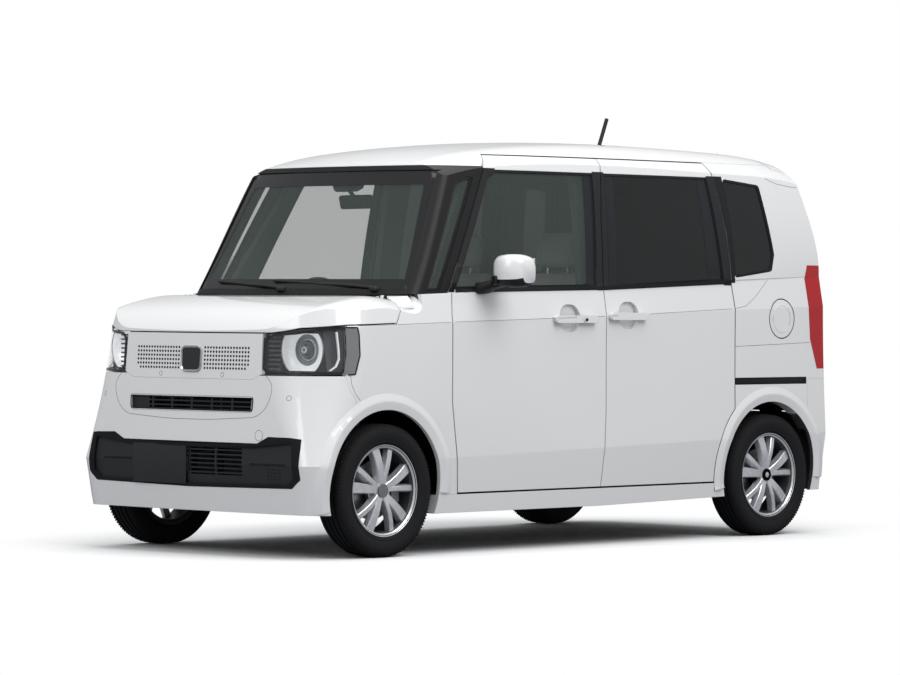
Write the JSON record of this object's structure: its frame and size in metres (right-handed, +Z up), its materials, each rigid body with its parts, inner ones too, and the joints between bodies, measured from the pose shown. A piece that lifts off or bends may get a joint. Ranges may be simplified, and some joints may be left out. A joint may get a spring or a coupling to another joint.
{
  "type": "kei car",
  "caption": "Tall box-shaped kei car with hinged front doors, sliding rear doors, bonnet, tailgate, steered front wheels and a hollow cabin with seats.",
  "frame": {"origin": "on the ground under the middle of the car's length and width", "axes": "+X to the front of the car, +Y to its left side, +Z up"},
  "size_m": [3.3893, 1.86, 1.9248],
  "materials": {
    "paint_white": "gloss",
    "glass_clear": "gloss",
    "glass_dark": "gloss",
    "lamp_clear": "gloss",
    "lamp_red": "gloss",
    "trim_black": "satin",
    "steel_black": "satin",
    "steel_bare": "satin",
    "alloy": "satin",
    "tyre": "matt",
    "seat_cloth": "matt",
    "cabin_plastic": "matt"
  },
  "bodies": {
    "body": {"aerial": "trim_black", "cowl": "trim_black", "dashboard": "cabin_plastic", "engine_block": "steel_bare", "exhaust": "steel_bare", "fender_left": "paint_white", "fender_right": "paint_white", "floor_pan": "steel_black", "front_bumper": "paint_white", "front_grilles": "trim_black", "front_quarter_glasses": "glass_clear", "front_rails": "steel_black", "front_seats": "seat_cloth", "front_subframe": "steel_black", "front_wheel_liners": "trim_black", "fuel_tank": "steel_black", "grille_panel": "paint_white", "headlamp_left": "lamp_clear", "headlamp_right": "lamp_clear", "quarter_glasses": "glass_dark", "quarter_panel_left": "paint_white", "quarter_panel_right": "paint_white", "rear_axle": "steel_bare", "rear_bumper": "paint_white", "rear_seats": "seat_cloth", "rear_wheel_liners": "trim_black", "roof": "paint_white", "seat_bases": "steel_black", "side_frame_left": "steel_black", "side_frame_right": "steel_black", "sill_left": "paint_white", "sill_right": "paint_white", "sliding_door_glasses": "glass_dark", "sliding_door_left": "paint_white", "sliding_door_right": "paint_white", "steering_wheel": "cabin_plastic", "tail_lamps": "lamp_red", "windshield": "glass_clear", "windshield_pillars": "trim_black", "wipers": "trim_black"},
    "front_door_left": {"front_door_left": "paint_white", "front_door_glass_left": "glass_clear", "door_mirror_left": "trim_black"},
    "front_door_right": {"front_door_right": "paint_white", "front_door_glass_right": "glass_clear", "door_mirror_right": "trim_black"},
    "bonnet": {"bonnet": "paint_white"},
    "tailgate": {"tailgate": "paint_white", "tailgate_glass": "glass_dark"},
    "fuel_lid": {"fuel_lid": "paint_white"},
    "knuckle_left": {"knuckle_left": "steel_bare"},
    "knuckle_right": {"knuckle_right": "steel_bare"},
    "wheel_front_left": {"wheel_front_left": "alloy", "tyre_front_left": "tyre"},
    "wheel_front_right": {"wheel_front_right": "alloy", "tyre_front_right": "tyre"},
    "wheel_rear_left": {"wheel_rear_left": "alloy", "tyre_rear_left": "tyre"},
    "wheel_rear_right": {"wheel_rear_right": "alloy", "tyre_rear_right": "tyre"}
  },
  "joints": [
    {"name": "front_door_left_hinge", "type": "hinge", "parent": "body", "child": "front_door_left", "pos_m": [0.846, 0.738, 0.426], "axis": [0, 0.024, -0.9997], "range_deg": [0, 68]},
    {"name": "front_door_right_hinge", "type": "hinge", "parent": "body", "child": "front_door_right", "pos_m": [0.846, -0.738, 0.426], "axis": [0, 0.024, 0.9997], "range_deg": [0, 68]},
    {"name": "bonnet_hinge", "type": "hinge", "parent": "body", "child": "bonnet", "pos_m": [1.14, 0, 1.085], "axis": [0, -1, 0], "range_deg": [0, 48]},
    {"name": "tailgate_hinge", "type": "hinge", "parent": "body", "child": "tailgate", "pos_m": [-1.44, 0, 1.763], "axis": [0, 1, 0], "range_deg": [0, 84]},
    {"name": "fuel_lid_hinge", "type": "hinge", "parent": "body", "child": "fuel_lid", "pos_m": [-1.2625, 0.731, 0.995], "axis": [0, 0, -1], "range_deg": [0, 85]},
    {"name": "steer_left", "type": "hinge", "parent": "body", "child": "knuckle_left", "pos_m": [1.2425, 0.606, 0.2], "axis": [0, -0.1282, 0.9917], "range_deg": [-35, 35]},
    {"name": "steer_right", "type": "hinge", "parent": "body", "child": "knuckle_right", "pos_m": [1.2425, -0.606, 0.2], "axis": [0, 0.1282, 0.9917], "range_deg": [-35, 35]},
    {"name": "wheel_front_left_spin", "type": "hinge", "parent": "knuckle_left", "child": "wheel_front_left", "pos_m": [1.2425, 0.6525, 0.2775], "axis": [0, 1, 0], "continuous": true},
    {"name": "wheel_front_right_spin", "type": "hinge", "parent": "knuckle_right", "child": "wheel_front_right", "pos_m": [1.2425, -0.6525, 0.2775], "axis": [0, 1, 0], "continuous": true},
    {"name": "wheel_rear_left_spin", "type": "hinge", "parent": "body", "child": "wheel_rear_left", "pos_m": [-1.2775, 0.6525, 0.2775], "axis": [0, 1, 0], "continuous": true},
    {"name": "wheel_rear_right_spin", "type": "hinge", "parent": "body", "child": "wheel_rear_right", "pos_m": [-1.2775, -0.6525, 0.2775], "axis": [0, 1, 0], "continuous": true}
  ],
  "couplings": [
    {"joint": "steer_right", "follows": "steer_left", "ratio": 1}
  ]
}
